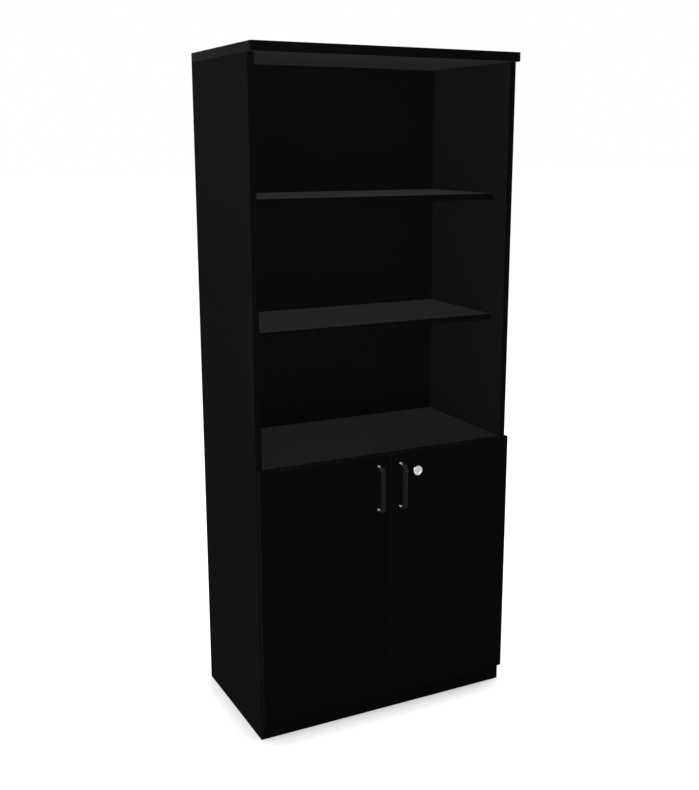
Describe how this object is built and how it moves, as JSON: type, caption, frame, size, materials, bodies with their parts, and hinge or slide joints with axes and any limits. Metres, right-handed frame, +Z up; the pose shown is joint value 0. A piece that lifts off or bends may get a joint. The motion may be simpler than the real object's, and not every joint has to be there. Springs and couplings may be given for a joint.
{
  "type": "bookcase with cabinet doors",
  "caption": "Tall black bookcase with open shelves above a lockable cupboard, whose hinged doors have bow handles.",
  "frame": {"origin": "middle of the footprint on the floor, the handles counted in the depth", "axes": "+Z up, the doors face -Y, +X to the right seen from the front"},
  "size_m": [0.8, 0.472, 1.895],
  "materials": {
    "board_melamine": "satin black melamine on chipboard",
    "edge_band": "satin black plastic edging",
    "back_board": "matt black lacquered fibreboard",
    "handle_metal": "satin anthracite powder coat",
    "lock_nickel": "polished nickel plate",
    "hardware_steel": "nickel-plated steel",
    "dowel_wood": "plain beech",
    "buffer_rubber": "soft black rubber"
  },
  "bodies": {
    "carcass": {"left_side": "board_melamine", "right_side": "board_melamine", "top_panel": "board_melamine", "bottom_panel": "board_melamine", "fixed_shelf": "board_melamine", "plinth": "board_melamine", "back_panel": "back_board", "top_edge_band": "edge_band", "carcass_edge_bands": "edge_band", "shelf_edge_bands": "edge_band", "carcass_dowels": "dowel_wood", "shelf_pins": "hardware_steel", "upper_shelf": "board_melamine", "lower_shelf": "board_melamine", "cupboard_shelf": "board_melamine", "hinge_arm_rivets": "hardware_steel", "hinge_plate_screws": "hardware_steel", "hinge_arm_screws": "hardware_steel", "lock_keeper": "hardware_steel", "keeper_screws": "hardware_steel", "left_upper_hinge_plate": "hardware_steel", "left_lower_hinge_plate": "hardware_steel", "right_upper_hinge_plate": "hardware_steel", "right_lower_hinge_plate": "hardware_steel", "left_upper_hinge_arm": "hardware_steel", "left_lower_hinge_arm": "hardware_steel", "right_upper_hinge_arm": "hardware_steel", "right_lower_hinge_arm": "hardware_steel"},
    "left_hinge_links": {"left_upper_hinge_link": "hardware_steel", "left_lower_hinge_link": "hardware_steel"},
    "left_door": {"left_door": "board_melamine", "left_door_edge_band": "edge_band", "left_handle": "handle_metal", "left_handle_screws": "hardware_steel", "left_door_buffers": "buffer_rubber", "left_cup_rivets": "hardware_steel", "left_cup_screws": "hardware_steel", "left_upper_hinge_cup": "hardware_steel", "left_lower_hinge_cup": "hardware_steel"},
    "right_hinge_links": {"right_upper_hinge_link": "hardware_steel", "right_lower_hinge_link": "hardware_steel"},
    "right_door": {"right_door": "board_melamine", "right_door_edge_band": "edge_band", "right_handle": "handle_metal", "right_handle_screws": "hardware_steel", "right_door_buffers": "buffer_rubber", "right_cup_rivets": "hardware_steel", "right_cup_screws": "hardware_steel", "right_upper_hinge_cup": "hardware_steel", "right_lower_hinge_cup": "hardware_steel", "lock_body": "lock_nickel", "lock_nut": "hardware_steel"},
    "lock_core": {"lock_cylinder": "lock_nickel", "lock_cam": "hardware_steel", "lock_cam_screw": "hardware_steel"}
  },
  "joints": [
    {"name": "left_link_swing", "type": "hinge", "parent": "carcass", "child": "left_hinge_links", "pos_m": [-0.361, -0.178, 0.4255], "axis": [0, 0, 1], "range_deg": [0, 35]},
    {"name": "left_door_swing", "type": "hinge", "parent": "left_hinge_links", "child": "left_door", "pos_m": [-0.3878, -0.192, 0.4255], "axis": [0, 0, -1], "range_deg": [0, 140]},
    {"name": "right_link_swing", "type": "hinge", "parent": "carcass", "child": "right_hinge_links", "pos_m": [0.361, -0.178, 0.4255], "axis": [0, 0, -1], "range_deg": [0, 35]},
    {"name": "right_door_swing", "type": "hinge", "parent": "right_hinge_links", "child": "right_door", "pos_m": [0.3878, -0.192, 0.4255], "axis": [0, 0, 1], "range_deg": [0, 140]},
    {"name": "lock_turn", "type": "hinge", "parent": "right_door", "child": "lock_core", "pos_m": [0.088, -0.206, 0.735], "axis": [0, 1, 0], "range_deg": [0, 90]}
  ],
  "couplings": [
    {"joint": "left_link_swing", "follows": "left_door_swing", "ratio": 0.25},
    {"joint": "right_link_swing", "follows": "right_door_swing", "ratio": 0.25}
  ]
}
